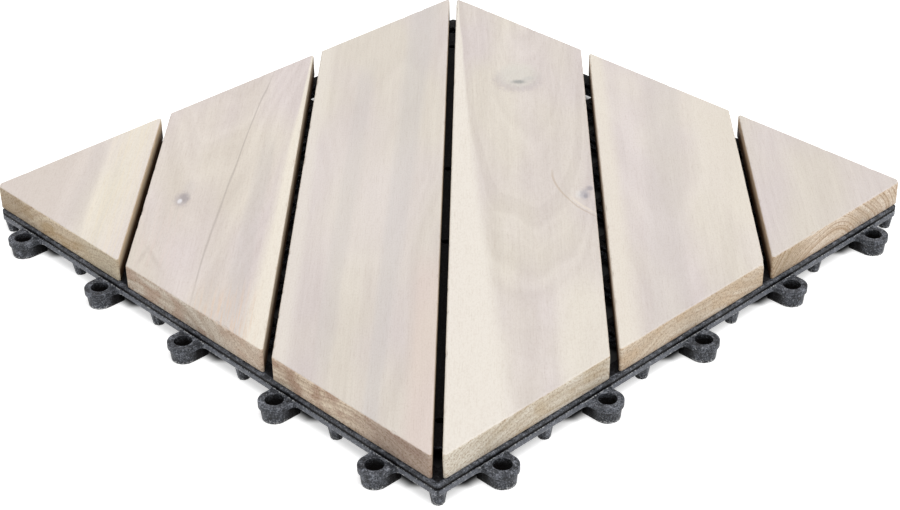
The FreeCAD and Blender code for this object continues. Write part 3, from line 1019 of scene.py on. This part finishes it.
@dataclass
class SlatScrews:
    """The eighteen pan-head screws, driven up from below into the slats, as one piece.

    A screw is a grid of rings by angles about its upright axis. The rings run from the middle of the
    head's underside over its rounded rim, in under the seat and up the threaded shank to the tip.
    Their places are counted in cells of the base's grid.
    """

    steel: ZincPlatedSteel = field(default_factory=ZincPlatedSteel)
    cell: float = 24.0
    places: tuple[tuple[int, int], ...] = (
        (-5, -4), (-4, -5), (-5, -1), (-3, -3), (-1, -5), (-5, 3), (-2, 0), (0, -2), (3, -5),
        (-3, 5), (0, 2), (2, 0), (5, -3), (1, 5), (3, 3), (5, 1), (4, 5), (5, 4),
    )
    head_bottom: float = 1.2
    dome: float = 0.02
    seat: float = 3.4
    tip: float = 18.4
    head_radius: float = 3.5
    bevel: float = 0.1
    tip_radius: float = 0.12
    rim_radius: float = 1.1
    shank_radius: float = 1.75
    thread_depth: float = 0.45
    pitch: float = 1.6
    taper: float = 3.0
    recess_reach: float = 1.9
    recess_half: float = 0.42
    recess_depth: float = 1.2
    recess_wall: float = 0.14
    recess_end: float = 0.4
    sides: int = 32
    seed: int = 5

    def profile(self) -> tuple[np.ndarray, np.ndarray, np.ndarray]:
        """Radius, height and share of thread of each ring.

        The underside is domed: it rises by dome r^2. The rim is a quarter circle between the dome and
        the side. The shank narrows over the length of its taper to the tip.

        Returns:
            The radius and height in millimetres, and the share of the thread's depth.
        """
        flat = np.linspace(0.2, self.head_radius - self.rim_radius, 12)
        t = np.linspace(0.0, math.pi / 2, 6)[1:]
        rim = self.head_radius - self.rim_radius + self.rim_radius * np.sin(t)
        rim_height = self.head_bottom + self.bevel + self.rim_radius * (1 - np.cos(t))
        seat = np.array([self.head_radius, self.head_radius - self.bevel, self.shank_radius + self.bevel,
                         self.shank_radius])
        seat_height = np.array([self.seat - self.bevel, self.seat, self.seat, self.seat + self.bevel])
        shank_height = np.arange(self.seat + 0.5, self.tip - 0.2, self.pitch / 4)
        taper = np.clip((self.tip - shank_height) / self.taper, 0.1, 1.0)
        radius = np.concatenate([flat, rim, seat, self.shank_radius * taper, [self.tip_radius]])
        height = np.concatenate([self.head_bottom + self.dome * flat ** 2, rim_height, seat_height,
                                 shank_height, [self.tip]])
        thread = np.zeros(len(radius))
        thread[-1 - len(shank_height):-1] = taper
        return radius, height, thread

    def recess(self, x: np.ndarray, y: np.ndarray) -> np.ndarray:
        """Depth of the cross: the deeper of two bars, each full where it is under its half-width and reach.

        Args:
            x: Distance from the axis along one bar, in millimetres.
            y: Distance from the axis along the other bar.

        Returns:
            The depth at each point in millimetres.
        """
        def bar(along: np.ndarray, across: np.ndarray) -> np.ndarray:
            """One bar of the cross, with sloping walls."""
            wide = np.clip((self.recess_half - np.abs(across)) / self.recess_wall + 0.5, 0, 1)
            return wide * np.clip((self.recess_reach - np.abs(along)) / self.recess_end, 0, 1)
        return self.recess_depth * np.maximum(bar(x, y), bar(y, x))

    def mesh(self) -> bpy.types.Mesh:
        """Work out all the screws at once, each turned by a seeded angle.

        The thread lowers the shank by depth |2 s - 1|, where s is the fraction of the turn count
        z / pitch - angle / 2 pi, so its crest climbs round the shank.

        Returns:
            The mesh.
        """
        radius, height, thread = self.profile()
        angle = np.linspace(0, 2 * math.pi, self.sides, endpoint=False)
        turn = np.mod(height[:, None] / self.pitch - angle[None] / (2 * math.pi), 1.0)
        reach = radius[:, None] - self.thread_depth * thread[:, None] * np.abs(2 * turn - 1)
        x, y = reach * np.cos(angle), reach * np.sin(angle)
        under = (height < self.head_bottom + self.bevel + self.rim_radius / 2)[:, None]
        z = height[:, None] + self.recess(x, y) * under
        spin = np.random.default_rng(self.seed).uniform(0, 2 * math.pi, len(self.places))[:, None, None]
        middle = np.array(self.places)[:, :, None, None] * self.cell
        points = np.stack([middle[:, 0] + x * np.cos(spin) - y * np.sin(spin),
                           middle[:, 1] + x * np.sin(spin) + y * np.cos(spin),
                           np.broadcast_to(z, (len(self.places),) + z.shape)], axis=-1)
        return shell("slat_screws_pan_head", points)

    def build(self) -> None:
        """Make the screws and let them stand for their CAD node."""
        screws = put("slat_screws_pan_head", self.mesh())
        screws.data.materials.append(self.steel.build("zinc_plated_steel"))
        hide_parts(CadNode.SCREWS.value)
        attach(screws, "root")
        LOG.info("%s: %d points", screws.name, len(screws.data.vertices))


# ---------------------------------------------------------------- studio


@dataclass
class Camera:
    """The photograph's camera: angles in degrees, lengths in millimetres."""

    azimuth: float = 46.39
    elevation: float = 31.56
    roll: float = 0.94
    distance: float = 851.4
    target: tuple[float, float, float] = (47.23, -43.61, 22.5)
    lens: float = 78.14
    sensor: float = 36.0

    def build(self) -> None:
        """Place the camera on its ray from the target and make it the scene's."""
        a, e, r = (math.radians(angle) for angle in (self.azimuth, self.elevation, self.roll))
        back = Vector((math.sin(a) * math.cos(e), -math.cos(a) * math.cos(e), math.sin(e)))
        right = Vector((math.cos(a), math.sin(a), 0.0))
        down = (-back).cross(right)
        across = math.cos(r) * right + math.sin(r) * down
        upward = math.sin(r) * right - math.cos(r) * down
        data = bpy.data.cameras.new("photo_camera")
        data.sensor_width = self.sensor
        data.lens = self.lens
        camera = put("photo_camera", data)
        turn = Matrix((across, upward, back)).transposed().to_4x4()
        spot = (Vector(self.target) + self.distance * back) * MM
        camera.matrix_world = Matrix.Translation(spot) @ turn
        bpy.context.scene.camera = camera


@dataclass
class Studio:
    """White floor, white surroundings and soft light from above."""

    floor_half: float = 6.0
    floor_albedo: str = "#EAEAEA"
    # The next colour and the cover fields paint a shadow on the floor under the tile.
    floor_shadow: str = "#505050"
    floor_lift: float = 0.56
    cover_half: float = 145.0
    cover_fade: float = 6.0
    cover_bulge: float = 5.5
    bulge_half: tuple[float, float] = (18.5, 10.0)
    sky: float = 0.36
    key: float = 2.2
    key_angle: float = 50.0
    key_turn: tuple[float, float, float] = (5.0, 19.0, 0.0)

    def seen(self, nodes: Nodes) -> Socket:
        """1 for rays from the camera, from gloss and through glass, otherwise 0.

        Args:
            nodes: The nodes of the floor or of the surroundings.

        Returns:
            The value.
        """
        path = nodes.add("LightPath").outputs
        first = nodes.add("Math MAXIMUM", {0: path["Is Camera Ray"], 1: path["Is Glossy Ray"]})
        return nodes.add("Math MAXIMUM", {0: first, 1: path["Is Transmission Ray"]})

    def painted_shadow(self, paper: Nodes) -> Socket:
        """Painted shadow on the floor: 1 well under the tile and 0 outside it; beside the loops it reaches
        further out.

        Args:
            paper: The floor's nodes.

        Returns:
            The value.
        """
        reach, beside = paper.square_plan(paper.ruler())
        wide, narrow = self.bulge_half
        bulge = paper.add("MapRange SMOOTHSTEP", {"From Min": wide, "From Max": narrow,
                                                  "To Max": -self.cover_bulge, "Value": beside})
        drawn = paper.add("Math ADD", {0: reach, 1: bulge})
        return paper.add("MapRange SMOOTHSTEP", {"From Min": self.cover_half, "Value": drawn,
                                                 "From Max": self.cover_half - self.cover_fade})

    def floor(self) -> None:
        """Pale floor, lifted to white for the camera but keeping the shadow; painted shadow under the tile.
        """
        half = self.floor_half
        square = [(-half, -half, 0), (half, -half, 0), (half, half, 0), (-half, half, 0)]
        mesh = bpy.data.meshes.new("floor")
        mesh.from_pydata(square, [], [(0, 1, 2, 3)])
        floor = put("floor", mesh)
        material = bpy.data.materials.new("white_paper_floor")
        paper = Nodes(material)
        painted_shadow = self.painted_shadow(paper)
        # Darker floor under the tile and beside the loops: painted shadow.
        shade = paper.add("Mix RGBA", {"Factor": painted_shadow, "A": linear(self.floor_albedo),
                                       "B": linear(self.floor_shadow)})
        uncovered = paper.add("MapRange", {"To Min": self.floor_lift, "To Max": 0.0, "Value": painted_shadow})
        lift = paper.add("Math MULTIPLY", {0: self.seen(paper), 1: uncovered})
        both = paper.add("AddShader", {0: paper.add("BsdfDiffuse", {"Color": shade}),
                                       1: paper.add("Emission", {"Strength": lift})})
        paper.add("OutputMaterial", {"Surface": both})
        mesh.materials.append(material)

    def surroundings(self) -> None:
        """White for the camera, and a plain pale light for everything else."""
        world = bpy.data.worlds.new("studio")
        air = Nodes(world)
        strength = air.add("MapRange", {"To Min": self.sky, "To Max": 1.0, "Value": self.seen(air)})
        light = air.add("Background", {"Color": (1.0, 1.0, 1.0, 1.0), "Strength": strength})
        air.add("OutputWorld", {"Surface": light})
        bpy.context.scene.world = world

    def softbox(self) -> None:
        """One distant soft lamp overhead: its strength in watts per square metre, its angles in degrees."""
        data = bpy.data.lights.new("overhead_softbox", "SUN")
        data.energy = self.key
        data.angle = math.radians(self.key_angle)
        lamp = put("overhead_softbox", data)
        lamp.rotation_euler = [math.radians(angle) for angle in self.key_turn]

    def build(self) -> None:
        """Make the floor, the surroundings and the lamp."""
        self.floor()
        self.surroundings()
        self.softbox()
        bpy.context.scene.view_settings.view_transform = "Standard"


def corners(box: tuple[Any, Any]) -> list[list[float]]:
    """A box as two plain lists of numbers."""
    return [[float(value) for value in corner] for corner in box]


def main() -> None:
    """Build the camera, the studio and every part of the tile, and log each."""
    logging.basicConfig(level=logging.INFO, format="%(name)s: %(message)s")
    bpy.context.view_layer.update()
    Camera().build()
    Studio().build()
    LOG.info("camera and studio are set")
    Slats().build()
    MouldedBase().build()
    SlatScrews().build()


if __name__ == "__main__":
    main()
